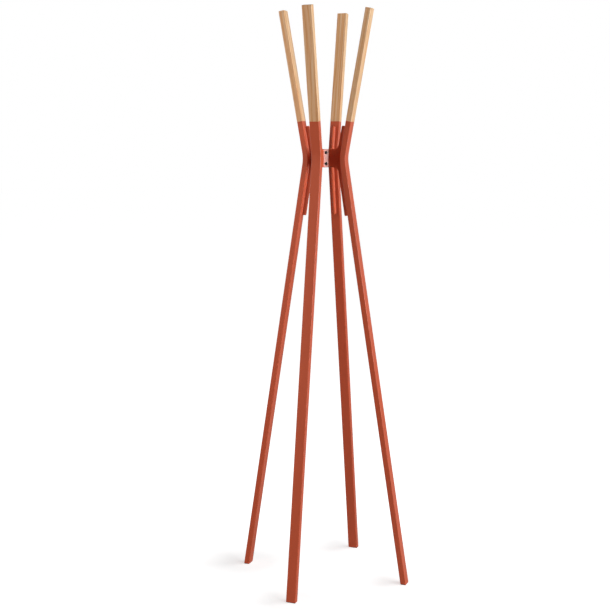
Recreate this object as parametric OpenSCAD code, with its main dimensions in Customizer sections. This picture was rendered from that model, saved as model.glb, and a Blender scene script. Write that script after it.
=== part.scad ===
// Standing coat rack: four bent tube legs with wood tips, held at the waist by
// two bent-sheet brackets that are screwed back to back.
// Frame: the origin is on the floor on the centre line, +Z is up, the flats of
// the two brackets face -Y (front) and +Y (back), and the legs stand on the
// diagonals. Dimensions in millimetres.

/* [Overall] */
// Height from the floor to the top of the wood tips
height = 1780; // [1700:10:1900]
// Distance from the centre line to the middle of each foot
foot_radius = 268; // [240:1:300]
// Distance from the centre line to the middle of each tip's top end
tip_radius = 139; // [115:1:170]
// Height of the waist, where the two straights of a leg would meet
waist_height = 1331; // [1250:1:1400]
// Distance from the centre line to that meeting point
waist_radius = 57.5; // [54:0.5:66]

/* [Leg tube] */
// Width of the tube, across the leg
tube_w = 31; // [26:1:36]
// Depth of the tube, towards the centre line
tube_t = 18; // [13:1:20]
// Wall of the tube
tube_wall = 1.5; // [1.2:0.1:2]
// Radius of the waist bend, on the middle of the tube
bend_radius = 120; // [80:10:300]

/* [Wood tip] */
// Length of each tip that shows above the tube
tip_length = 341; // [300:1:360]
// Length of the tenon inside the tube
tenon_length = 50; // [30:1:60]
// Gap between the tenon and the tube on each side
tenon_gap = 0.2; // [0.1:0.1:0.5]
// Rounding of the long edges of the wood
tip_corner = 1.6; // [1:0.1:2.2]

/* [Waist bracket] */
// Thickness of the bracket sheet
sheet_t = 4; // [3:0.5:5]
// Height of the centre flat and its two tabs
band_height = 56; // [50:1:64]
// Straight width of the centre flat, between its bends
flat_width = 14.6; // [13:0.2:18]
// Inside radius of the 45 degree bends
sheet_bend = 4; // [3:0.5:5]
// How far each wing stands off its leg
wing_depth = 14; // [12:0.5:18]
// Length of a wing along the leg above the waist
wing_up = 97; // [80:1:110]
// Length of a wing along the leg below the waist
wing_down = 176; // [150:1:220]
// Radius of the inside corners between wing and tab
wing_fillet = 14; // [8:1:16]
// Radius of the free corners of a wing
wing_corner = 3; // [1:0.5:5]

/* [Fasteners] */
// Distance between the two screws
screw_spacing = 34; // [30:1:38]
// Thread diameter of the screws
screw_d = 5; // [4:0.5:6]
// Length of a screw under its head
screw_length = 18; // [16:1:22]
// Diameter of a screw head
head_d = 9.5; // [8.5:0.5:11]
// Height of a screw head
head_h = 2.8; // [2.4:0.1:3.2]
// Size across the flats of the hexagon socket
socket_af = 3; // [2.5:0.5:4]
// Thickness of the rivet nut flange, which keeps the two flats apart
flange_t = 1.5; // [1:0.1:2]
// Outside diameter of the rivet nut body
nut_body_d = 7; // [6.5:0.5:8]
// Diameter of the rivet nut flange and of its squeezed collar
nut_flange_d = 10; // [9:0.5:12]
// Length of a rivet nut behind the flat
nut_tail = 9; // [7:1:12]

/* [End plugs] */
// Thickness of the pad under each foot
pad_t = 1.5; // [1:0.5:4]
// How far the pad is set in from the outside of the tube
pad_inset = 0.8; // [0.5:0.1:1.5]
// Height of the plug inside the tube
plug_height = 24; // [15:1:30]

/* [Hidden] */
$fn = 48;

// Lean of the two straights of a leg, from the vertical
lean_low = atan((foot_radius - waist_radius) / waist_height);
lean_up = atan((tip_radius - waist_radius) / (height - waist_height));
bend_angle = lean_low + lean_up;
// Slope, against the horizontal, of the line that halves the bend
bend_slope = (lean_low - lean_up) / 2;
bend_steps = 24;
// Distances along the upper straight, from the meeting point to the top of the wood and of the tube
top_reach = (height - waist_height - tube_t / 2 * sin(lean_up)) / cos(lean_up);
tube_reach = top_reach - tip_length;

// Distances of a flat's two surfaces from the plane between the brackets
flat_back = flange_t / 2;
flat_front = flat_back + sheet_t;
// Distance of each leg's middle plane from the centre line, which the bends of the sheet give
leg_offset = (flat_width / 2 - flat_front - sheet_bend) * sqrt(0.5) + sheet_bend + sheet_t / 2;
band_low = waist_height - band_height / 2;
band_high = waist_height + band_height / 2;
corner_steps = 8;
// Lengths that run past the edges they are cut to
past = 10;
far_past = 150;

screw_heights = [waist_height + screw_spacing / 2, waist_height - screw_spacing / 2];
screw_play = 0.25;
thread_play = 0.05;
socket_depth = 1.6;
dome_radius = 6.5;
collar_h = 3;

// Where each leg stands: [angle around Z, side its middle plane is shifted to]
FRONT_LEFT = [-135, -1];
FRONT_RIGHT = [-45, 1];
BACK_RIGHT = [45, -1];
BACK_LEFT = [135, 1];

STEEL_RED = "#a5493a";
WOOD = "#dcb487";
SCREW_BLACK = "#26282a";
ZINC = "#b9bcc0";
PLASTIC = "#2c2c2e";

// Points of a leg's plane, [distance from the centre line, height], at a distance
// along the upper or lower straight and a distance towards the centre line from it
function on_upper(along, inward) = [
    waist_radius + along * sin(lean_up) - inward * cos(lean_up),
    waist_height + along * cos(lean_up) + inward * sin(lean_up)
];
function on_lower(along, inward) = [
    waist_radius + along * sin(lean_low) - inward * cos(lean_low),
    waist_height - along * cos(lean_low) - inward * sin(lean_low)
];
// Where lines drawn inward of both straights meet
function at_waist(inward) = [
    waist_radius - inward / cos(bend_angle / 2) * cos(bend_slope),
    waist_height - inward / cos(bend_angle / 2) * sin(bend_slope)
];

// Arc that rounds the corner b, between a and c, to radius r
function rounded(a, b, c, r, steps) =
    let (
        u = (a - b) / norm(a - b),
        v = (c - b) / norm(c - b),
        half = acos(u * v) / 2,
        centre = b + (u + v) / norm(u + v) * r / sin(half),
        start = b + u * r / tan(half) - centre,
        turn = (u[0] * v[1] - u[1] * v[0] > 0 ? -1 : 1) * (180 - 2 * half)
    )
    [for (i = [0:steps]) let (s = turn * i / steps)
        centre + [start[0] * cos(s) - start[1] * sin(s), start[0] * sin(s) + start[1] * cos(s)]];

// Puts a shape drawn in a leg's own frame (X outward, Z up) in that leg's place
module at_leg(place) {
    rotate([0, 0, place[0]])
        translate([0, place[1] * leg_offset, 0])
            children();
}

// Puts a shape drawn along Z on a straight, starting at the meeting point
module along_straight(lean) {
    translate([waist_radius, 0, waist_height])
        rotate([0, lean, 0])
            children();
}

// Rectangle with rounded corners: t along X, w along Y
module section(t, w, r) {
    square([t - 2 * r, w], center = true);
    square([t, w - 2 * r], center = true);
    for (x = [r - t / 2, t / 2 - r]) {
        for (y = [r - w / 2, w / 2 - r]) {
            translate([x, y])
                circle(r = r);
        }
    }
}

// Plate of thickness t whose outline lies in the leg's plane, centred on it
module upright_plate(t, outline) {
    translate([0, t / 2, 0])
        rotate([90, 0, 0])
            linear_extrude(t)
                polygon(outline);
}

// Point at height z on a line drawn inward of the lower straight
function foot_point(z, inward) =
    on_lower((waist_height - z - inward * sin(lean_low)) / cos(lean_low), inward);

// One long side of the tube, from the top down, at a distance inward of its middle
function tube_side(inward, top, bottom) = concat(
    [on_upper(top, inward)],
    rounded(on_upper(top, inward), at_waist(inward), foot_point(bottom, inward),
        bend_radius + inward, bend_steps),
    [foot_point(bottom, inward)]
);

function reversed(points) = [for (i = [len(points) - 1:-1:0]) points[i]];

// Side view of a bar that follows the leg: half its depth, its top and its level bottom
function leg_outline(half_t, top, bottom) =
    concat(tube_side(half_t, top, bottom), reversed(tube_side(-half_t, top, bottom)));

// One tube leg: lower straight, waist bend, upper straight
module leg(place) {
    color(STEEL_RED)
    at_leg(place)
        difference() {
            upright_plate(tube_w, leg_outline(tube_t / 2, tube_reach, pad_t));
            upright_plate(
                tube_w - 2 * tube_wall,
                leg_outline(tube_t / 2 - tube_wall, tube_reach + past, pad_t - past)
            );
        }
}

// One wood tip, with the tenon that fits in the tube
module wood_tip(place) {
    hidden = tube_wall + tenon_gap;
    color(WOOD)
    at_leg(place)
        along_straight(lean_up) {
            translate([0, 0, tube_reach])
                linear_extrude(tip_length)
                    section(tube_t, tube_w, tip_corner);
            translate([0, 0, tube_reach - tenon_length])
                linear_extrude(tenon_length)
                    square([tube_t - 2 * hidden, tube_w - 2 * hidden], center = true);
        }
}

// Side view of a block cut level between two heights, set in from the outside of the tube
function foot_outline(inset, low, high) =
    let (h = tube_t / 2 - inset)
    [foot_point(low, h), foot_point(high, h), foot_point(high, -h), foot_point(low, -h)];

// One end plug: a block inside the tube and a pad under it
module foot_plug(place) {
    color(PLASTIC)
    at_leg(place) {
        upright_plate(tube_w - 2 * tube_wall, foot_outline(tube_wall, pad_t, pad_t + plug_height));
        upright_plate(tube_w - 2 * pad_inset, foot_outline(pad_inset, 0, pad_t));
    }
}

// Outline, in a leg's plane, of the wing and the band that crosses the centre line
function wing_outline() =
    let (
        face = tube_t / 2,
        edge = face + wing_depth,
        low_corner = foot_point(band_low, edge),
        high_corner = on_upper((band_high - waist_height - edge * sin(lean_up)) / cos(lean_up), edge),
        low_end = on_lower(wing_down, edge),
        high_end = on_upper(wing_up, edge),
        low_root = on_lower(wing_down, face),
        high_root = on_upper(wing_up, face),
        band_start = -past
    )
    concat(
        [high_root],
        rounded(high_root, at_waist(face), low_root, bend_radius + face, bend_steps),
        [low_root],
        rounded(low_root, low_end, low_corner, wing_corner, corner_steps),
        rounded(low_end, low_corner, [band_start, band_low], wing_fillet, corner_steps),
        [[band_start, band_low], [band_start, band_high]],
        rounded([band_start, band_high], high_corner, high_end, wing_fillet, corner_steps),
        rounded(high_corner, high_end, high_root, wing_corner, corner_steps)
    );

// One surface of the bent sheet seen from above, at radius r around the bend's middle
function sheet_side(r) =
    let (bend = [flat_width / 2, -flat_front - sheet_bend])
    concat(
        [[-flat_width / 4, bend[1] + r]],
        [for (i = [0:corner_steps]) let (a = 90 - 45 * i / corner_steps) bend + r * [cos(a), sin(a)]],
        [bend + r * [sqrt(0.5), sqrt(0.5)] + far_past * [sqrt(0.5), -sqrt(0.5)]]
    );

// Right-hand half of the front bracket: the bent sheet, cut to the outline of band and wing
module bracket_half() {
    intersection() {
        translate([0, 0, waist_height - wing_down - past])
            linear_extrude(wing_up + wing_down + 2 * past)
                polygon(concat(sheet_side(sheet_bend), reversed(sheet_side(sheet_bend + sheet_t))));
        at_leg(FRONT_RIGHT)
            upright_plate(far_past, wing_outline());
    }
}

// Round bars along Y at the two screw places, from one depth to another
module screw_bars(d, from, to) {
    for (z = screw_heights) {
        translate([0, from, z])
            rotate([-90, 0, 0])
                cylinder(d = d, h = to - from);
    }
}

// One bent-sheet bracket, in the place of the front one, with two holes in its flat
module waist_bracket(hole_d) {
    color(STEEL_RED)
    difference() {
        union() {
            bracket_half();
            mirror([1, 0, 0])
                bracket_half();
        }
        screw_bars(hole_d, -flat_front - sheet_t, sheet_t);
    }
}

module waist_bracket_front() {
    waist_bracket(screw_d + 2 * screw_play);
}

module waist_bracket_back() {
    rotate([0, 0, 180])
        waist_bracket(nut_body_d);
}

// A button-head screw with a hexagon socket
module bracket_screw(z) {
    color(SCREW_BLACK)
    translate([0, -flat_front, z])
        rotate([-90, 0, 0])
            difference() {
                union() {
                    cylinder(d = screw_d - 2 * thread_play, h = screw_length);
                    intersection() {
                        translate([0, 0, -head_h])
                            cylinder(d = head_d, h = head_h);
                        translate([0, 0, dome_radius - head_h])
                            sphere(r = dome_radius);
                    }
                }
                translate([0, 0, -head_h - socket_depth])
                    cylinder(d = socket_af / cos(30), h = 2 * socket_depth, $fn = 6);
            }
}

// A rivet nut: flange between the flats, body through the back one, squeezed collar behind it
module rivet_nut(z) {
    color(ZINC)
    translate([0, -flat_back, z])
        rotate([-90, 0, 0])
            difference() {
                union() {
                    cylinder(d = nut_flange_d, h = flange_t);
                    cylinder(d = nut_body_d, h = flange_t + sheet_t + nut_tail);
                    translate([0, 0, flange_t + sheet_t])
                        cylinder(d = nut_flange_d, h = collar_h);
                }
                translate([0, 0, -flange_t])
                    cylinder(d = screw_d, h = 3 * flange_t + sheet_t + nut_tail);
            }
}

leg(FRONT_LEFT);  // leg_front_left
leg(FRONT_RIGHT);  // leg_front_right
leg(BACK_RIGHT);  // leg_back_right
leg(BACK_LEFT);  // leg_back_left
wood_tip(FRONT_LEFT);  // wood_tip_front_left
wood_tip(FRONT_RIGHT);  // wood_tip_front_right
wood_tip(BACK_RIGHT);  // wood_tip_back_right
wood_tip(BACK_LEFT);  // wood_tip_back_left
foot_plug(FRONT_LEFT);  // foot_plug_front_left
foot_plug(FRONT_RIGHT);  // foot_plug_front_right
foot_plug(BACK_RIGHT);  // foot_plug_back_right
foot_plug(BACK_LEFT);  // foot_plug_back_left
waist_bracket_front();
waist_bracket_back();
bracket_screw(screw_heights[0]);  // bracket_screw_upper
bracket_screw(screw_heights[1]);  // bracket_screw_lower
rivet_nut(screw_heights[0]);  // rivet_nut_upper
rivet_nut(screw_heights[1]);  // rivet_nut_lower
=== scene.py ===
import math

import bmesh
import bpy
import numpy as np
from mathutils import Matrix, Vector
from mathutils.geometry import delaunay_2d_cdt


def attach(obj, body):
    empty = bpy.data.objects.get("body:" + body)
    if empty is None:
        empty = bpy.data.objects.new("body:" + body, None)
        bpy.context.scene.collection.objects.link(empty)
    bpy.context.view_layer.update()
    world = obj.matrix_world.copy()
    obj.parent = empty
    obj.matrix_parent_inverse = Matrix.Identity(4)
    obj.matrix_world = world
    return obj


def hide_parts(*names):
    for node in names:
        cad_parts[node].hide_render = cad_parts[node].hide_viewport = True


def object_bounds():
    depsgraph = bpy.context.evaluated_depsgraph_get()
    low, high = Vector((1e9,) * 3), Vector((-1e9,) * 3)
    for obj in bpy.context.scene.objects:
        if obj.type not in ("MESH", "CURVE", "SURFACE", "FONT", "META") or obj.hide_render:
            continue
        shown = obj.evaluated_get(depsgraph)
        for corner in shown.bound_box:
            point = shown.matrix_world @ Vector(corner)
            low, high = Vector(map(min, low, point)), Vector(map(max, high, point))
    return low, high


# Looks of the standing coat rack, in metres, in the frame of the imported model: origin on the floor,
# +Z up, the two waist brackets facing -Y and +Y, the four legs on the diagonals.
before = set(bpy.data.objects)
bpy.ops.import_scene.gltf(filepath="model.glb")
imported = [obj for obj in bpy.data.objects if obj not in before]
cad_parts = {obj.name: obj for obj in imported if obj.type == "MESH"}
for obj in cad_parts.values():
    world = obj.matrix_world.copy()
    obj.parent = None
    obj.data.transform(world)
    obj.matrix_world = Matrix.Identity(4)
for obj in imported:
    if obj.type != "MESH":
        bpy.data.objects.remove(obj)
cad_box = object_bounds()

MM = 0.001

# ---------------------------------------------------------------- driving sizes, as in the CAD model
HEIGHT = cad_box[1].z
FOOT_RADIUS = 268 * MM
TIP_RADIUS = 139 * MM
WAIST_HEIGHT = 1331 * MM
WAIST_RADIUS = 57.5 * MM
TUBE_W = 31 * MM
TUBE_T = 18 * MM
TUBE_WALL = 1.5 * MM
BEND_RADIUS = 120 * MM
TIP_LENGTH = 341 * MM
TENON_LENGTH = 50 * MM
TENON_GAP = 0.2 * MM
SHEET_T = 4 * MM
BAND_HEIGHT = 56 * MM
FLAT_WIDTH = 14.6 * MM
SHEET_BEND = 4 * MM
WING_TURN = math.radians(45)
WING_DEPTH = 14 * MM
WING_UP = 97 * MM
WING_DOWN = 176 * MM
WING_FILLET = 14 * MM
WING_CORNER = 3 * MM
SCREW_SPACING = 34 * MM
SCREW_D = 5 * MM
SCREW_LENGTH = 18 * MM
SCREW_HOLE_D = 5.5 * MM
HEAD_D = 9.5 * MM
HEAD_H = 2.8 * MM
SOCKET_AF = 3 * MM
SOCKET_DEPTH = 1.6 * MM
DOME_RADIUS = 6.5 * MM
FLANGE_T = 1.5 * MM
NUT_BODY_D = 7 * MM
NUT_FLANGE_D = 10 * MM
NUT_TAIL = 9 * MM
COLLAR_H = 3 * MM
PAD_T = 1.5 * MM
PAD_INSET = 0.8 * MM
PLUG_HEIGHT = 24 * MM

# ---------------------------------------------------------------- finish details of the visual model
TUBE_CORNER = 2.0 * MM
TUBE_INNER_CORNER = 0.8 * MM
TUBE_END_EASE = 0.35 * MM
TIP_CORNER = 1.6 * MM
TIP_TOP_EASE = 0.9 * MM
TENON_CORNER = 0.8 * MM
SHEET_EASE = 0.6 * MM
WELD_LEG = 2.4 * MM
WELD_EMBED = 0.3 * MM
WELD_RIPPLE = 0.07 * MM
WELD_RIPPLE_PITCH = 3.2 * MM
WELD_STEP = 0.8 * MM
WELD_TAPER = 3 * MM
# A bead's size at its two ends and the radius of its hollow, as shares of its full size
WELD_END = 0.35
WELD_HOLLOW = 1.15
WELD_HOLLOW_ANGLES = (262, 188)
WELD_HOLLOW_POINTS = 5
CORNER_STEPS = 6
EASE_STEPS = 3
BEND_STEPS = 36
SHEET_BEND_STEPS = 8
HOLE_POINTS = 32
ROUND_POINTS = 48
TOLERANCE = 1e-7

# ---------------------------------------------------------------- sizes that follow
LEAN_LOW = math.atan((FOOT_RADIUS - WAIST_RADIUS) / WAIST_HEIGHT)
LEAN_UP = math.atan((TIP_RADIUS - WAIST_RADIUS) / (HEIGHT - WAIST_HEIGHT))
BEND_ANGLE = LEAN_LOW + LEAN_UP
BEND_MIDDLE = (LEAN_UP - LEAN_LOW) / 2
BEND_REACH = BEND_RADIUS * math.tan(BEND_ANGLE / 2)
BEND_HALF_ARC = BEND_RADIUS * BEND_ANGLE / 2
TOP_REACH = (HEIGHT - WAIST_HEIGHT - TUBE_T / 2 * math.sin(LEAN_UP)) / math.cos(LEAN_UP)
TUBE_REACH = TOP_REACH - TIP_LENGTH
FLAT_BACK = FLANGE_T / 2
FLAT_FRONT = FLAT_BACK + SHEET_T
DIAGONAL = math.sqrt(0.5)
LEG_OFFSET = (FLAT_WIDTH / 2 - FLAT_FRONT - SHEET_BEND) * DIAGONAL + SHEET_BEND + SHEET_T / 2
BAND_LOW = WAIST_HEIGHT - BAND_HEIGHT / 2
BAND_HIGH = WAIST_HEIGHT + BAND_HEIGHT / 2
MEETING_POINT = np.array([WAIST_RADIUS, WAIST_HEIGHT])
SCREW_HEIGHTS = {
    "upper": WAIST_HEIGHT + SCREW_SPACING / 2,
    "lower": WAIST_HEIGHT - SCREW_SPACING / 2,
}

# Where each leg stands: angle round Z, and the side its middle plane is shifted to
PLACES = {
    "front_left": (math.radians(-135), -1),
    "front_right": (math.radians(-45), 1),
    "back_right": (math.radians(45), -1),
    "back_left": (math.radians(135), 1),
}


# ---------------------------------------------------------------- stations along a leg
# A station is a point of the tube's middle line and the vector that points inward there,
# both as (distance from the centre line, height). The meeting point is where the two straights
# would cross, and a lean is the angle by which the middle line leans out on its way up.
def inward_at(lean):
    """The vector that points inward where the middle line has this lean."""
    return np.array([-math.cos(lean), math.sin(lean)])


BEND_CENTRE = MEETING_POINT - inward_at(BEND_MIDDLE) * BEND_RADIUS / math.cos(BEND_ANGLE / 2)


def upper_station(along):
    """Station on the upper straight, at a distance from the meeting point."""
    point = MEETING_POINT + along * np.array([math.sin(LEAN_UP), math.cos(LEAN_UP)])
    return point, inward_at(LEAN_UP)


def lower_station(along):
    """Station on the lower straight, at a distance from the meeting point."""
    point = MEETING_POINT + along * np.array([math.sin(LEAN_LOW), -math.cos(LEAN_LOW)])
    return point, inward_at(-LEAN_LOW)


def level_station(z):
    """Station on the lower straight whose section lies level, at height z."""
    point = lower_station((WAIST_HEIGHT - z) / math.cos(LEAN_LOW))[0]
    return point, np.array([-1 / math.cos(LEAN_LOW), 0])


def bend_station(lean):
    """Station on the waist bend, where the middle line has this lean."""
    inward = inward_at(lean)
    return BEND_CENTRE + BEND_RADIUS * inward, inward


def bend_stations():
    """Stations round the waist bend, from the upper straight down to the lower one."""
    return [bend_station(lean) for lean in np.linspace(LEAN_UP, -LEAN_LOW, BEND_STEPS + 1)]


def leg_station(along):
    """Station at a distance along the middle line, up (positive) or down from the middle of the bend."""
    if along >= BEND_HALF_ARC:
        return upper_station(along - BEND_HALF_ARC + BEND_REACH)
    if along <= -BEND_HALF_ARC:
        return lower_station(-along - BEND_HALF_ARC + BEND_REACH)
    return bend_station(BEND_MIDDLE + along / BEND_RADIUS)


def in_leg(place, station, inward, across):
    """Point in space at a station of the leg at a place, by a distance inward and one across the leg."""
    turn, side = place
    r, z = station[0] + inward * station[1]
    y = side * LEG_OFFSET + across
    return (r * math.cos(turn) - y * math.sin(turn), r * math.sin(turn) + y * math.cos(turn), z)


# ---------------------------------------------------------------- mesh building
def rounded_section(half_t, half_w, radius):
    """Points round a rectangle with rounded corners, as (inward, across)."""
    points = []
    for quarter, (sx, sy) in enumerate([(1, 1), (-1, 1), (-1, -1), (1, -1)]):
        for i in range(CORNER_STEPS + 1):
            a = math.radians(90 * (quarter + i / CORNER_STEPS))
            x = sx * (half_t - radius) + radius * math.cos(a)
            y = sy * (half_w - radius) + radius * math.sin(a)
            points.append((x, y))
    return points


def leg_ring(place, station, inset, radius):
    """The leg's section at a station, smaller by an inset all round, with rounded corners."""
    section = rounded_section(TUBE_T / 2 - inset, TUBE_W / 2 - inset, radius)
    return [in_leg(place, station, x, y) for x, y in section]


def loft(rings, closed=False):
    """Points and faces of a skin over rings of equal length. Closed joins the last ring to the first."""
    n = len(rings[0])
    points = [p for ring in rings for p in ring]
    faces = []
    for a in range(len(rings) if closed else len(rings) - 1):
        b = (a + 1) % len(rings)
        faces += [(a * n + i, a * n + (i + 1) % n, b * n + (i + 1) % n, b * n + i) for i in range(n)]
    if not closed:
        faces.append(tuple(range(n))[::-1])
        faces.append(tuple(range(len(points) - n, len(points))))
    return points, faces


def new_piece(name, points, faces, material, slot, nodes=()):
    """A mesh object that rides on the one body and may stand for CAD nodes. The slot argument is not used.
    """
    bm = bmesh.new()
    made = [bm.verts.new(p) for p in points]
    for face in faces:
        bm.faces.new([made[i] for i in face])
    bmesh.ops.recalc_face_normals(bm, faces=bm.faces)
    mesh = bpy.data.meshes.new(name)
    bm.to_mesh(mesh)
    bm.free()
    mesh.shade_smooth()
    mesh.materials.append(material)
    piece = bpy.data.objects.new(name, mesh)
    bpy.context.scene.collection.objects.link(piece)
    weighted = piece.modifiers.new("flat_faces", "WEIGHTED_NORMAL")
    weighted.mode = "FACE_AREA"
    weighted.weight = 100
    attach(piece, "root")
    if nodes:
        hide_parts(*nodes)
    return piece


# ---------------------------------------------------------------- materials
def new_material(name, roughness, metallic=0.0, specular=0.5):
    """A material with its principled shader, and the function that adds nodes to it."""
    material = bpy.data.materials.new(name)
    material.use_nodes = True
    tree = material.node_tree
    tree.nodes.clear()
    out = tree.nodes.new("ShaderNodeOutputMaterial")
    shader = tree.nodes.new("ShaderNodeBsdfPrincipled")
    tree.links.new(shader.outputs["BSDF"], out.inputs["Surface"])
    shader.inputs["Roughness"].default_value = roughness
    shader.inputs["Metallic"].default_value = metallic
    shader.inputs["Specular IOR Level"].default_value = specular

    def add(kind, inputs=None, **settings):
        node = tree.nodes.new("ShaderNode" + kind)
        for key, value in settings.items():
            setattr(node, key, value)
        for key, value in (inputs or {}).items():
            socket = node.inputs[key]
            if isinstance(value, bpy.types.NodeSocket):
                tree.links.new(value, socket)
            else:
                socket.default_value = value
        return node

    return material, shader, add, tree.links.new


def colour_ramp(node, stops):
    """Sets a colour ramp's stops: pairs of position and colour."""
    elements = node.color_ramp.elements
    while len(elements) > 1:
        elements.remove(elements[-1])
    elements[0].position = stops[0][0]
    elements[0].color = (*stops[0][1], 1)
    for position, colour in stops[1:]:
        elements.new(position).color = (*colour, 1)


def scaled(add, vector, factors):
    """The vector times a factor on each axis."""
    return add("VectorMath", {0: vector, 1: factors}, operation="MULTIPLY").outputs[0]


def noise(add, vector, scale, detail=2.0, roughness=0.5):
    """The factor of a noise texture."""
    inputs = {"Vector": vector, "Scale": scale, "Detail": detail, "Roughness": roughness}
    return add("TexNoise", inputs).outputs["Fac"]


def mapped(add, value, low, high, to_low, to_high):
    """A value carried from one range to another, held at its ends."""
    inputs = {"Value": value, "From Min": low, "From Max": high, "To Min": to_low, "To Max": to_high}
    return add("MapRange", inputs).outputs["Result"]


def maths(add, operation, a, b=0.0):
    """One step of arithmetic."""
    return add("Math", {0: a, 1: b}, operation=operation).outputs[0]


STEEL_RED = (0.590, 0.103, 0.042)
STEEL_RED_DEEP = (0.560, 0.096, 0.038)
COAT_ROUGHNESS = 0.36
COAT_ROUGHNESS_SPREAD = 0.04
COAT_SPECULAR = 0.38
MOTTLES_PER_METRE = 9.0
PEEL_PER_METRE = 620.0
PEEL_DEPTH = 0.06 * MM


def powder_coat():
    """Satin powder coat: an even brick red, slightly mottled, with a fine orange peel."""
    material, shader, add, link = new_material("powder_coat", COAT_ROUGHNESS, specular=COAT_SPECULAR)
    place = add("NewGeometry").outputs["Position"]
    mottle = noise(add, place, MOTTLES_PER_METRE, 3.0)
    ramp = add("ValToRGB", {"Fac": mottle})
    colour_ramp(ramp, [(0.3, STEEL_RED_DEEP), (0.7, STEEL_RED)])
    link(ramp.outputs["Color"], shader.inputs["Base Color"])
    peel = noise(add, place, PEEL_PER_METRE)
    smooth, rough = COAT_ROUGHNESS - COAT_ROUGHNESS_SPREAD, COAT_ROUGHNESS + COAT_ROUGHNESS_SPREAD
    link(mapped(add, peel, 0.3, 0.7, smooth, rough), shader.inputs["Roughness"])
    bump = add("Bump", {"Height": peel, "Strength": 0.25, "Distance": PEEL_DEPTH})
    link(bump.outputs["Normal"], shader.inputs["Normal"])
    return material


WOOD_PALE = (0.820, 0.640, 0.425)
WOOD_MIDDLE = (0.775, 0.520, 0.295)
WOOD_WARM = (0.735, 0.392, 0.172)
WOOD_DARK = (0.560, 0.270, 0.110)
PORE_SHADE = (0.62, 0.52, 0.42, 1)
END_PORE_SHADE = (0.50, 0.40, 0.32, 1)
END_GRAIN_SHADE = (0.74, 0.68, 0.60, 1)
RING_WIDTH = 3.6 * MM
RING_WANDER = 16 * MM
EARLY_WOOD = 0.45
PITH = (62 * MM, 34 * MM, 0.0)
LACQUER_ROUGHNESS = 0.46
LACQUER_SPECULAR = 0.65
PORE_ROUGHNESS = 0.68
GRAIN_DEPTH = 0.05 * MM
# What each pattern adds to the tone of the wood
EARLY_WOOD_TONE = 0.18
STREAK_TONE = 0.70
FIBRE_TONE = 0.22


def grain_noise(add, grain, across, along, detail, roughness=0.5):
    """Noise stretched along the grain, by its counts per metre across it and along it."""
    return noise(add, scaled(add, grain, (across, across, along)), 1.0, detail, roughness)


def early_wood(add, grain):
    """1 where a growth ring about the pith begins, falling to 0 at the end of its early wood."""
    from_pith = add("VectorMath", {0: grain, 1: PITH}, operation="SUBTRACT").outputs[0]
    across = scaled(add, from_pith, (1.0, 1.0, 0.0))
    radius = add("VectorMath", {0: across}, operation="LENGTH").outputs["Value"]
    wander = maths(add, "MULTIPLY", grain_noise(add, grain, 14.0, 1.8, 2.0), RING_WANDER)
    ring = maths(add, "FRACT", maths(add, "DIVIDE", maths(add, "ADD", radius, wander), RING_WIDTH))
    return mapped(add, ring, 0.0, EARLY_WOOD, 1.0, 0.0)


def ash_wood(end_grain):
    """Lacquered pale ash, cut from a plank: growth rings, and streaks, fibres and pores along the grain."""
    name = "ash_end_grain" if end_grain else "ash_wood"
    material, shader, add, link = new_material(name, LACQUER_ROUGHNESS, specular=LACQUER_SPECULAR)
    grain = add("Attribute", attribute_name="grain").outputs["Vector"]
    early = early_wood(add, grain)
    streak = grain_noise(add, grain, 190.0, 4.0, 3.0, 0.65)
    fibre = grain_noise(add, grain, 1500.0, 22.0, 2.0, 0.6)
    early_tone = maths(add, "MULTIPLY", early, EARLY_WOOD_TONE)
    streak_tone = maths(add, "MULTIPLY", streak, STREAK_TONE)
    fibre_tone = maths(add, "MULTIPLY", fibre, FIBRE_TONE)
    tone = maths(add, "ADD", maths(add, "ADD", early_tone, streak_tone), fibre_tone)
    ramp = add("ValToRGB", {"Fac": tone})
    colour_ramp(ramp, [(0.28, WOOD_PALE), (0.44, WOOD_MIDDLE), (0.58, WOOD_WARM), (0.78, WOOD_DARK)])
    pore_spots = mapped(add, grain_noise(add, grain, 2600.0, 60.0, 1.0), 0.60, 0.68, 0.0, 1.0)
    pores = maths(add, "MULTIPLY", pore_spots, mapped(add, early, 0.2, 0.8, 0.15, 0.8))
    pored = {
        "Fac": pores,
        "Color1": ramp.outputs["Color"],
        "Color2": END_PORE_SHADE if end_grain else PORE_SHADE,
    }
    colour = add("MixRGB", pored, blend_type="MULTIPLY").outputs["Color"]
    if end_grain:
        shaded = {"Fac": 1.0, "Color1": colour, "Color2": END_GRAIN_SHADE}
        colour = add("MixRGB", shaded, blend_type="MULTIPLY").outputs["Color"]
    link(colour, shader.inputs["Base Color"])
    link(mapped(add, pores, 0.0, 1.0, LACQUER_ROUGHNESS, PORE_ROUGHNESS), shader.inputs["Roughness"])
    relief = maths(add, "SUBTRACT", maths(add, "MULTIPLY", fibre, 0.5), pores)
    bump = add("Bump", {"Height": relief, "Strength": 0.35, "Distance": GRAIN_DEPTH})
    link(bump.outputs["Normal"], shader.inputs["Normal"])
    return material


MOTTLED_ROUGHNESS_SPREAD = 0.06
MOTTLED_GRAIN_DEPTH = 0.01 * MM


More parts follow.
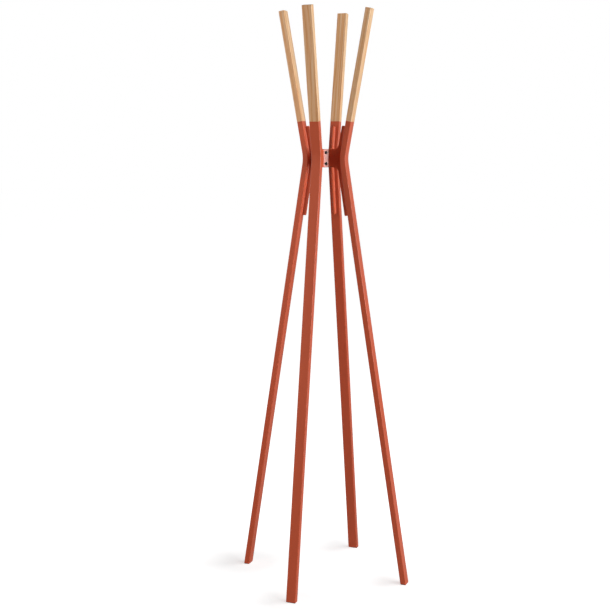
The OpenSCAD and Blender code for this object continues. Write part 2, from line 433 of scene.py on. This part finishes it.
def mottled(name, dark, light, roughness, metallic, scale):
    """A finish whose colour and roughness vary softly, with a fine grain."""
    material, shader, add, link = new_material(name, roughness, metallic)
    place = add("NewGeometry").outputs["Position"]
    cloud = noise(add, place, scale, 3.0)
    ramp = add("ValToRGB", {"Fac": cloud})
    colour_ramp(ramp, [(0.35, dark), (0.65, light)])
    link(ramp.outputs["Color"], shader.inputs["Base Color"])
    smooth, rough = roughness - MOTTLED_ROUGHNESS_SPREAD, roughness + MOTTLED_ROUGHNESS_SPREAD
    link(mapped(add, cloud, 0.3, 0.7, smooth, rough), shader.inputs["Roughness"])
    fine = noise(add, place, 9 * scale)
    bump = add("Bump", {"Height": fine, "Strength": 0.2, "Distance": MOTTLED_GRAIN_DEPTH})
    link(bump.outputs["Normal"], shader.inputs["Normal"])
    return material


POWDER_COAT = powder_coat()
ASH_WOOD = ash_wood(False)
ASH_END_GRAIN = ash_wood(True)
BLACK_OXIDE = mottled(
    "black_oxide", (0.010, 0.011, 0.013), (0.026, 0.027, 0.030), roughness=0.36, metallic=0.6, scale=400.0
)
ZINC_PLATE = mottled(
    "zinc_plate", (0.46, 0.47, 0.49), (0.62, 0.63, 0.65), roughness=0.30, metallic=1.0, scale=500.0
)
NYLON = mottled(
    "black_nylon", (0.018, 0.018, 0.019), (0.032, 0.032, 0.034), roughness=0.62, metallic=0.0, scale=300.0
)


# ---------------------------------------------------------------- the legs
def eased_insets(ease):
    """Steps round a rounded edge, as (inset, distance from the end), starting at the end face."""
    for i in range(EASE_STEPS + 1):
        a = math.radians(90 * i / EASE_STEPS)
        yield ease * (1 - math.sin(a)), ease * (1 - math.cos(a))


def tube_leg(name, place):
    """One leg: a hollow rectangular tube with rounded corners, cut level at the foot."""
    bend = bend_stations()
    ease = list(eased_insets(TUBE_END_EASE))
    outer = [(level_station(PAD_T + up), inset) for inset, up in ease]
    outer += [(station, 0) for station in reversed(bend)]
    outer += [(upper_station(TUBE_REACH - down), inset) for inset, down in reversed(ease)]
    inner = [upper_station(TUBE_REACH), *bend, level_station(PAD_T)]
    rings = [leg_ring(place, station, inset, TUBE_CORNER - inset) for station, inset in outer]
    rings += [leg_ring(place, station, TUBE_WALL, TUBE_INNER_CORNER) for station in inner]
    new_piece(f"tube_leg_{name}", *loft(rings, closed=True), POWDER_COAT, "powder_steel", [f"leg_{name}"])


# ---------------------------------------------------------------- the wood tips
# Where in its plank each tip was cut, in metres: through its depth, its width and its length
TIP_PLANKS = {
    "front_left": (0.2, 0.0, 0.6),
    "front_right": (0.3, 0.0, 1.5),
    "back_right": (0.0, 0.0, 3.0),
    "back_left": (0.3, 0.0, 4.0),
}


def wood_tip(name, place):
    """One wood tip: the tenon in the tube, a shoulder on the tube's end and eased edges."""
    hidden = TUBE_WALL + TENON_GAP

    def ring(along, inset, radius):
        return leg_ring(place, upper_station(along), inset, radius)

    tenon_end = TUBE_REACH - TENON_LENGTH
    rings = [
        ring(tenon_end, hidden + TENON_CORNER, TENON_CORNER),
        ring(tenon_end + TENON_CORNER, hidden, TENON_CORNER),
        ring(TUBE_REACH, hidden, TENON_CORNER),
    ]
    for inset, up in eased_insets(TUBE_END_EASE):
        rings.append(ring(TUBE_REACH + up, inset, TIP_CORNER - inset))
    for inset, down in reversed(list(eased_insets(TIP_TOP_EASE))):
        rings.append(ring(TOP_REACH - down, inset, TIP_CORNER - inset))
    piece = new_piece(f"ash_tip_{name}", *loft(rings), ASH_WOOD, "tip_wood", [f"wood_tip_{name}"])
    piece.data.materials.append(ASH_END_GRAIN)
    top_face = max(piece.data.polygons, key=lambda face: face.center.z)
    top_face.material_index = 1
    add_grain(piece, name, place)


def add_grain(piece, name, place):
    """Stores, at each point of a tip, its place in the plank it was cut from, with the grain along Z."""
    turn = place[0]
    up = Vector((0, 0, 1))
    out = Vector((math.cos(turn), math.sin(turn), 0))
    across = Vector((-math.sin(turn), math.cos(turn), 0))
    along = out * math.sin(LEAN_UP) + up * math.cos(LEAN_UP)
    depth = out * math.cos(LEAN_UP) - up * math.sin(LEAN_UP)
    start = Vector(in_leg(place, upper_station(0), 0, 0))
    shift = Vector(TIP_PLANKS[name])
    attribute = piece.data.attributes.new("grain", "FLOAT_VECTOR", "POINT")
    for vertex, value in zip(piece.data.vertices, attribute.data):
        local = vertex.co - start
        value.vector = Vector((local.dot(depth), local.dot(across), local.dot(along))) + shift


# ---------------------------------------------------------------- the foot plugs
PLUG_RIBS = (5 * MM, 11 * MM, 17 * MM)
RIB_HEIGHT = 1.6 * MM
RIB_DEPTH = 0.35 * MM
PAD_EASE = 0.5 * MM
PAD_RIM = 2.2 * MM
PAD_HOLLOW = 0.4 * MM
PAD_CORNER = 1.4 * MM
BLOCK_CORNER = 0.6 * MM


def foot_plug(name, place):
    """One end plug: a ribbed block inside the tube, and under it a pad with a shallow hollow."""

    def ring(z, inset, radius):
        return leg_ring(place, level_station(z), inset, radius)

    pad_bottom = [ring(up, PAD_INSET + inset, PAD_CORNER - inset) for inset, up in eased_insets(PAD_EASE)]
    rings = [
        ring(PAD_HOLLOW, PAD_INSET + PAD_RIM + PAD_HOLLOW, BLOCK_CORNER),
        ring(0, PAD_INSET + PAD_RIM, PAD_CORNER),
        *pad_bottom,
        ring(PAD_T, PAD_INSET, PAD_CORNER),
        ring(PAD_T, TUBE_WALL + RIB_DEPTH, BLOCK_CORNER),
    ]
    for rib in PLUG_RIBS:
        rings += [
            ring(PAD_T + rib, TUBE_WALL + RIB_DEPTH, BLOCK_CORNER),
            ring(PAD_T + rib, TUBE_WALL, BLOCK_CORNER),
            ring(PAD_T + rib + RIB_HEIGHT, TUBE_WALL, BLOCK_CORNER),
            ring(PAD_T + rib + 2 * RIB_HEIGHT, TUBE_WALL + RIB_DEPTH, BLOCK_CORNER),
        ]
    rings.append(ring(PAD_T + PLUG_HEIGHT - RIB_HEIGHT, TUBE_WALL + RIB_DEPTH, BLOCK_CORNER))
    rings.append(ring(PAD_T + PLUG_HEIGHT, TUBE_WALL + RIB_HEIGHT, BLOCK_CORNER))
    new_piece(f"foot_glide_{name}", *loft(rings), NYLON, "plug_plastic", [f"foot_plug_{name}"])


# ---------------------------------------------------------------- the waist brackets
# How far from the centre line a wing starts, half the flat's width, and the unrolled length up to the wing
BEND_END = (FLAT_WIDTH / 2 + FLAT_FRONT + SHEET_BEND) * DIAGONAL
FLAT_LENGTH = FLAT_WIDTH / 2
UNROLLED_BEND = FLAT_LENGTH + (SHEET_BEND + SHEET_T / 2) * WING_TURN


def in_sheet(u, z, depth, turned):
    """Point in space of a point of the unrolled sheet, at u from its middle line and z up,
    and at a depth behind its outer surface. Turned is for the back bracket."""
    side = -1 if u < 0 else 1
    u = abs(u)
    bend = min(max((u - FLAT_LENGTH) / (UNROLLED_BEND - FLAT_LENGTH), 0), 1) * WING_TURN
    past = max(u - UNROLLED_BEND, 0)
    radius = SHEET_BEND + depth
    x = min(u, FLAT_LENGTH) + radius * math.sin(bend) + past * DIAGONAL
    y = -FLAT_FRONT - SHEET_BEND + radius * math.cos(bend) - past * DIAGONAL
    return (-side * x, -y, z) if turned else (side * x, y, z)


def unit(vector):
    """The vector at a length of 1."""
    return vector / np.linalg.norm(vector)


def rounded_corner(a, b, c, radius):
    """Arc that rounds the corner b, between a and c."""
    a, b, c = np.array(a), np.array(b), np.array(c)
    u, v = unit(a - b), unit(c - b)
    half = math.acos(u @ v) / 2
    centre = b + unit(u + v) * radius / math.sin(half)
    start, end = b + u * radius / math.tan(half) - centre, b + v * radius / math.tan(half) - centre
    turn = math.pi - 2 * half
    points = []
    for i in range(CORNER_STEPS + 1):
        from_end, from_start = turn * (1 - i / CORNER_STEPS), turn * i / CORNER_STEPS
        arm = (start * math.sin(from_end) + end * math.sin(from_start)) / math.sin(turn)
        points.append(centre + arm)
    return points


def along_side(station, inward):
    """Point at a distance inward of a station, as (distance from the centre line, height)."""
    return station[0] + inward * station[1]


def meets_level(station_at, inward, z):
    """Where a line drawn inward of a straight crosses a height."""
    near, far = along_side(station_at(0), inward), along_side(station_at(1), inward)
    return near + (far - near) * (z - near[1]) / (far[1] - near[1])


def sheet_outline():
    """Outline of the unrolled bracket, anticlockwise, with the places of its bend lines.
    It is a band, and on each side of it a wing along the leg."""
    face, edge = TUBE_T / 2, TUBE_T / 2 + WING_DEPTH
    low_corner = meets_level(lower_station, edge, BAND_LOW)
    high_corner = meets_level(upper_station, edge, BAND_HIGH)
    low_end, low_root = (along_side(lower_station(WING_DOWN), d) for d in (edge, face))
    high_end, high_root = (along_side(upper_station(WING_UP), d) for d in (edge, face))
    wing = rounded_corner((0, BAND_LOW), low_corner, low_end, WING_FILLET)
    wing += rounded_corner(low_corner, low_end, low_root, WING_CORNER)
    wing.append(low_root)
    wing += [along_side(station, face) for station in reversed(bend_stations())]
    wing.append(high_root)
    wing += rounded_corner(high_root, high_end, high_corner, WING_CORNER)
    wing += rounded_corner(high_end, high_corner, (0, BAND_HIGH), WING_FILLET)
    wing = [(r - BEND_END + UNROLLED_BEND, z) for r, z in wing]
    lines = list(np.linspace(FLAT_LENGTH, UNROLLED_BEND, SHEET_BEND_STEPS + 1))
    right = [(u, BAND_LOW) for u in lines] + wing + [(u, BAND_HIGH) for u in reversed(lines)]
    left = [(-u, z) for u, z in reversed(right)]
    return np.array(right + left), lines


def inset_loop(loop, distance):
    """The loop moved to its left by a distance, each corner along its mitre."""
    before, after = np.roll(loop, 1, axis=0), np.roll(loop, -1, axis=0)

    def left_normals(edges):
        return np.stack([-edges[:, 1], edges[:, 0]], axis=1) / np.linalg.norm(edges, axis=1)[:, None]

    n1, n2 = left_normals(loop - before), left_normals(after - loop)
    return loop + distance * (n1 + n2) / (1 + (n1 * n2).sum(axis=1))[:, None]


def waist_bracket(name, node, hole_d, turned):
    """One bracket: 4 mm sheet bent twice, with rounded rims and two round holes, welded to two legs."""
    outline, lines = sheet_outline()
    turn = np.linspace(0, 2 * math.pi, HOLE_POINTS, endpoint=False)
    circle = np.stack([np.cos(turn), -np.sin(turn)], axis=1) * hole_d / 2
    loops = [outline] + [circle + (0, z) for z in SCREW_HEIGHTS.values()]
    steps = list(eased_insets(SHEET_EASE))
    steps += [(inset, SHEET_T - depth) for inset, depth in reversed(steps)]
    points, faces, caps = [], [], ([], [])
    for loop in loops:
        start, n = len(points), len(loop)
        for inset, depth in steps:
            points += [in_sheet(u, z, depth, turned) for u, z in inset_loop(loop, inset)]
        for k in range(len(steps) - 1):
            a, b = start + k * n, start + (k + 1) * n
            faces += [(a + i, a + (i + 1) % n, b + (i + 1) % n, b + i) for i in range(n)]
        caps[0].append((start, inset_loop(loop, SHEET_EASE)))
        caps[1].append((start + (len(steps) - 1) * n, inset_loop(loop, SHEET_EASE)))
    for cap in caps:
        faces += flat_faces(cap, lines)
    new_piece(name, points, faces, POWDER_COAT, "powder_steel", [node])


def flat_faces(loops, lines):
    """Triangles that fill the first loop and leave the others open, with an edge along each bend line.
    Each loop is the number of its first point and its flat points."""
    flat, numbers, rims = [], [], []
    for start, loop in loops:
        rim = list(range(len(flat), len(flat) + len(loop)))
        rims.append(rim[::-1] if rims else rim)
        numbers += range(start, start + len(loop))
        flat += [Vector(p) for p in loop]
    outer = loops[0][1]
    edges = []
    for u in lines:
        for side in (-1, 1):
            on_line = abs(outer[:, 0] - side * u) < TOLERANCE
            in_band = abs(outer[:, 1] - WAIST_HEIGHT) < BAND_HEIGHT
            edges.append(tuple(int(i) for i in np.flatnonzero(on_line & in_band)))
    # The last result says which of the loops each triangle lies in
    _, _, triangles, came_from, _, inside = delaunay_2d_cdt(flat, edges, rims, 0, TOLERANCE, True)
    kept = [t for t, within in zip(triangles, inside) if list(within) == [0]]
    return [tuple(numbers[came_from[i][0]] for i in t) for t in kept]


# ---------------------------------------------------------------- the welds
def weld_beads(name, place):
    """Two fillet beads where a wing meets its leg, one on each side of the wing, faintly rippled."""
    low = -(WING_DOWN - BEND_REACH + BEND_HALF_ARC)
    high = WING_UP - BEND_REACH + BEND_HALF_ARC
    count = round((high - low) / WELD_STEP)
    points, faces = [], []
    for side in (-1, 1):
        rings = []
        for i in range(count + 1):
            along = low + (high - low) * i / count
            from_end = min(i, count - i) / count * (high - low)
            taper = WELD_END + (1 - WELD_END) * min(from_end / WELD_TAPER, 1)
            ripple = WELD_RIPPLE * math.sin(2 * math.pi * along / WELD_RIPPLE_PITCH + side)
            rings.append(weld_section(place, leg_station(along), side, WELD_LEG * taper + ripple))
        more_points, more_faces = loft(rings)
        faces += [tuple(v + len(points) for v in face) for face in more_faces]
        points += more_points
    new_piece(f"weld_{name}", points, faces, POWDER_COAT, "powder_steel")


def weld_section(place, station, side, size):
    """Section of a bead: a corner sunk into leg and wing, and a shallow hollow between its two toes."""
    leg_face, wing_face = TUBE_T / 2, SHEET_T / 2
    points = [(-WELD_EMBED, -WELD_EMBED), (size, -WELD_EMBED), (size, 0)]
    centre = size * WELD_HOLLOW
    for a in np.radians(np.linspace(*WELD_HOLLOW_ANGLES, WELD_HOLLOW_POINTS)):
        points.append((centre + centre * math.cos(a), centre + centre * math.sin(a)))
    points += [(0, size), (-WELD_EMBED, size)]
    return [in_leg(place, station, leg_face + x, side * (wing_face + y)) for x, y in points]


# ---------------------------------------------------------------- the fasteners
THREAD_PITCH = 0.8 * MM
THREAD_DEPTH = 0.45 * MM
THREAD_ROWS = 8
THREAD_START = 1.2 * MM
THREAD_CLEARANCE = 0.05 * MM
# The thread's profile: the slope of its flanks, what its flat crest takes off, what is left at its end
THREAD_FLANK = 3.2
THREAD_CREST = 0.4
THREAD_END = 0.3
SOCKET_EASE = 0.2 * MM
SOCKET_RIM = 0.05 * MM
# The cone at the bottom of the socket: its width as a share of the socket's, its depth and its point
SOCKET_CONE = 0.8
SOCKET_POINT_DEPTH = 0.5 * MM
SOCKET_POINT = 0.15 * MM
DOME_START = 0.7 * SOCKET_AF
DOME_STEPS = 8
HEAD_EASE = 0.15 * MM
HEAD_RIM = 0.12 * MM


def round_ring(z, depth, radius):
    """Ring about a screw's axis, at a depth behind the front flat's outer surface.
    The radius may be a function of the angle."""
    points = []
    for i in range(ROUND_POINTS):
        a = 2 * math.pi * i / ROUND_POINTS
        r = radius(a) if callable(radius) else radius
        points.append((r * math.cos(a), -FLAT_FRONT + depth, z + r * math.sin(a)))
    return points


def hexagon(across_flats):
    """The radius of a hexagon as a function of the angle."""
    sector = math.radians(60)
    return lambda a: across_flats / 2 / math.cos((a % sector) - sector / 2)


def thread(depth):
    """The radius of the thread as a function of the angle, at a depth along the screw."""
    run_in = max((depth - THREAD_START) / THREAD_PITCH, 0)
    run_out = (SCREW_LENGTH - depth) / THREAD_PITCH + THREAD_END
    fade = min(run_in, 1, run_out)

    def radius(a):
        phase = (depth / THREAD_PITCH - a / (2 * math.pi)) % 1
        cut = min(max(abs(phase - 0.5) * THREAD_FLANK - THREAD_CREST, 0), 1)
        return SCREW_D / 2 - THREAD_CLEARANCE - THREAD_DEPTH * (1 - fade) - THREAD_DEPTH * fade * cut

    return radius


def dome_depth(radius):
    """Depth of the head's dome at a radius, negative because it stands in front of the flat."""
    return -HEAD_H + DOME_RADIUS - math.sqrt(DOME_RADIUS**2 - radius**2)


def bracket_screw(name, z):
    """A button-head screw with a hexagon socket and a real thread."""
    rings = [
        round_ring(z, SOCKET_DEPTH - HEAD_H + SOCKET_POINT_DEPTH, SOCKET_POINT),
        round_ring(z, SOCKET_DEPTH - HEAD_H, hexagon(SOCKET_CONE * SOCKET_AF)),
        round_ring(z, SOCKET_DEPTH - HEAD_H, hexagon(SOCKET_AF)),
        round_ring(z, SOCKET_EASE - HEAD_H, hexagon(SOCKET_AF)),
        round_ring(z, SOCKET_RIM - HEAD_H, hexagon(SOCKET_AF + 2 * SOCKET_EASE)),
    ]
    for radius in np.linspace(DOME_START, HEAD_D / 2 - HEAD_EASE, DOME_STEPS):
        rings.append(round_ring(z, dome_depth(radius), radius))
    rings.append(round_ring(z, dome_depth(HEAD_D / 2) + HEAD_RIM, HEAD_D / 2))
    rings.append(round_ring(z, -HEAD_EASE, HEAD_D / 2))
    rings.append(round_ring(z, 0, HEAD_D / 2 - HEAD_EASE))
    rows = round(SCREW_LENGTH / THREAD_PITCH * THREAD_ROWS)
    for row in range(rows + 1):
        depth = SCREW_LENGTH * row / rows
        rings.append(round_ring(z, depth, thread(depth)))
    rings.append(round_ring(z, SCREW_LENGTH, SCREW_D / 2 - 2 * THREAD_DEPTH))
    new_piece(f"socket_screw_{name}", *loft(rings), BLACK_OXIDE, "screw_black", [f"bracket_screw_{name}"])


KNURLS = 24
KNURL_DEPTH = 0.12 * MM
NUT_EASE = 0.3 * MM
COLLAR_STEPS = 12
COLLAR_FULLNESS = 0.6


def rivet_nut(name, z):
    """A rivet nut: flange between the flats, squeezed collar behind the back one, ribbed tail, bore."""
    start = SHEET_T
    seat = start + FLANGE_T + SHEET_T
    end = seat + NUT_TAIL
    body, flange, bore = NUT_BODY_D / 2, NUT_FLANGE_D / 2, SCREW_D / 2

    def ribbed(a):
        return body - KNURL_DEPTH * (0.5 + 0.5 * math.cos(KNURLS * a))

    rings = [
        round_ring(z, start + NUT_EASE, bore),
        round_ring(z, start, bore + NUT_EASE),
        round_ring(z, start, flange - NUT_EASE),
        round_ring(z, start + NUT_EASE, flange),
        round_ring(z, start + FLANGE_T, flange),
        round_ring(z, start + FLANGE_T, body),
        round_ring(z, seat, body),
    ]
    for i in range(1, COLLAR_STEPS):
        a = math.radians(180 * i / COLLAR_STEPS)
        bulge = body + (flange - body) * math.sin(a) ** COLLAR_FULLNESS
        rings.append(round_ring(z, seat + COLLAR_H * (1 - math.cos(a)) / 2, bulge))
    rings += [
        round_ring(z, seat + COLLAR_H, body),
        round_ring(z, seat + COLLAR_H + NUT_EASE, body),
        round_ring(z, seat + COLLAR_H + 2 * NUT_EASE, ribbed),
        round_ring(z, end - 3 * NUT_EASE, ribbed),
        round_ring(z, end - 2 * NUT_EASE, body - KNURL_DEPTH),
        round_ring(z, end - NUT_EASE / 2, body - KNURL_DEPTH),
        round_ring(z, end, body - KNURL_DEPTH - NUT_EASE / 2),
        round_ring(z, end, bore + NUT_EASE),
        round_ring(z, end - NUT_EASE, bore),
    ]
    new_piece(f"zinc_nut_{name}", *loft(rings, closed=True), ZINC_PLATE, "zinc", [f"rivet_nut_{name}"])


for leg_name, leg_place in PLACES.items():
    tube_leg(leg_name, leg_place)
    wood_tip(leg_name, leg_place)
    foot_plug(leg_name, leg_place)
    weld_beads(leg_name, leg_place)
waist_bracket("bracket_front", "waist_bracket_front", hole_d=SCREW_HOLE_D, turned=False)
waist_bracket("bracket_back", "waist_bracket_back", hole_d=NUT_BODY_D, turned=True)
for screw_name, height in SCREW_HEIGHTS.items():
    bracket_screw(screw_name, height)
    rivet_nut(screw_name, height)


# ---------------------------------------------------------------- the camera
# Angles in degrees, distance and height in metres, lens in millimetres
CAMERA_AZIMUTH = -24.278
CAMERA_DISTANCE = 3.6864
CAMERA_HEIGHT = 1.3825
CAMERA_PITCH_DOWN = 7.853
CAMERA_TURN_LEFT = 0.981
CAMERA_LENS = 70.04


def polar(azimuth, distance, height):
    """Point at an azimuth round the object, where 0 is in front of it, on -Y."""
    a = math.radians(azimuth)
    return Vector((distance * math.sin(a), -distance * math.cos(a), height))


camera = bpy.data.objects.new("camera", bpy.data.cameras.new("camera"))
camera.data.lens = CAMERA_LENS
camera.location = polar(CAMERA_AZIMUTH, CAMERA_DISTANCE, CAMERA_HEIGHT)
heading = math.radians(CAMERA_AZIMUTH + CAMERA_TURN_LEFT)
camera.rotation_euler = (math.radians(90 - CAMERA_PITCH_DOWN), 0, heading)
bpy.context.scene.collection.objects.link(camera)
bpy.context.scene.camera = camera


# ---------------------------------------------------------------- floor, world and lights
FLOOR_SIZE = 60.0
FLOOR_TONE = (0.70, 0.70, 0.70, 1)
FLOOR_LIFT = 0.68
# Between these distances from the nearest foot, the floor's lift grows from FLOOR_LIFT to 1
SHADOW_NEAR = 70 * MM
SHADOW_FAR = 260 * MM
LIGHT_DISTANCE = 3.2
WARM_TINT = (1.0, 0.79, 0.64)


def pale_floor():
    """A white floor, lifted to the white of the background, but less so near the feet,
    where the shadows show."""
    mesh = bpy.data.meshes.new("floor")
    half = FLOOR_SIZE / 2
    corners = [(-half, -half, 0), (half, -half, 0), (half, half, 0), (-half, half, 0)]
    mesh.from_pydata(corners, [], [(0, 1, 2, 3)])
    floor = bpy.data.objects.new("floor", mesh)
    bpy.context.scene.collection.objects.link(floor)
    material, shader, add, link = new_material("white_floor", roughness=0.9, specular=0.0)
    shader.inputs["Base Color"].default_value = FLOOR_TONE
    shader.inputs["Emission Color"].default_value = (1, 1, 1, 1)
    seen = add("LightPath").outputs["Is Camera Ray"]
    place = add("NewGeometry").outputs["Position"]
    # All four quarters of the floor are folded onto one, so that one foot stands for the nearest
    folded = add("VectorMath", {0: place}, operation="ABSOLUTE").outputs[0]
    foot = (FOOT_RADIUS * DIAGONAL, FOOT_RADIUS * DIAGONAL, 0)
    away = add("VectorMath", {0: folded, 1: foot}, operation="DISTANCE").outputs["Value"]
    lift = mapped(add, away, SHADOW_NEAR, SHADOW_FAR, FLOOR_LIFT, 1.0)
    link(maths(add, "MULTIPLY", seen, lift), shader.inputs["Emission Strength"])
    mesh.materials.append(material)
    return floor


def white_world():
    """A white background that is seen but casts no light."""
    world = bpy.data.worlds.new("studio")
    bpy.context.scene.world = world
    world.use_nodes = True
    nodes, links = world.node_tree.nodes, world.node_tree.links
    background = nodes["Background"]
    path = nodes.new("ShaderNodeLightPath")
    links.new(path.outputs["Is Camera Ray"], background.inputs["Strength"])
    background.inputs["Color"].default_value = (1, 1, 1, 1)


def softbox(
    name, azimuth, height, width, tall, radiance, aim_height,
    distance=LIGHT_DISTANCE, tint=(1, 1, 1), glossy_only=False,
):
    """A rectangular soft light aimed at the axis of the object, with the brightness of its face.
    A card is glossy only: it shows as a highlight and casts no light."""
    light = bpy.data.lights.new(name, "AREA")
    light.shape = "RECTANGLE"
    light.size = width
    light.size_y = tall
    light.energy = radiance * math.pi * width * tall
    light.color = tint
    box = bpy.data.objects.new(name, light)
    box.location = polar(azimuth, distance, height)
    aim = Vector((0, 0, aim_height)) - box.location
    box.rotation_euler = aim.to_track_quat("-Z", "Y").to_euler()
    box.visible_diffuse = not glossy_only
    bpy.context.scene.collection.objects.link(box)
    return box


def link_to_floor(box, floor):
    """Makes one light shine on the floor only, and every other light on everything but the floor."""
    only = bpy.data.collections.new("floor_only")
    without = bpy.data.collections.new("all_but_floor")
    for group in (only, without):
        group.objects.link(floor)
    without.collection_objects[0].light_linking.link_state = "EXCLUDE"
    for light in [o for o in bpy.context.scene.objects if o.type == "LIGHT"]:
        light.light_linking.receiver_collection = only if light == box else without


floor = pale_floor()
white_world()
softbox("key", azimuth=35, height=1.8, width=1.1, tall=3.0, radiance=11.8, aim_height=1.1)
softbox(
    "left_fill", azimuth=-90, height=1.6, width=2.3, tall=3.0, radiance=3.1, aim_height=0.9, tint=WARM_TINT
)
softbox("right_rim", azimuth=118, height=1.8, width=1.7, tall=3.0, radiance=0.4, aim_height=1.0)
softbox("back_fill", azimuth=200, height=1.6, width=2.4, tall=3.0, radiance=2.0, aim_height=1.0)
softbox("top", azimuth=0, height=4.4, width=2.2, tall=2.2, radiance=1.0, aim_height=1.0, distance=0.1)
softbox(
    "front_card", azimuth=24, height=1.35, width=0.7, tall=0.7, radiance=34.0, aim_height=1.35,
    glossy_only=True,
)
floor_light = softbox(
    "floor_light", azimuth=52, height=3.1, width=4.0, tall=2.4, radiance=3.9, aim_height=0.0, distance=2.6
)
link_to_floor(floor_light, floor)
bpy.context.scene.view_settings.view_transform = "Standard"
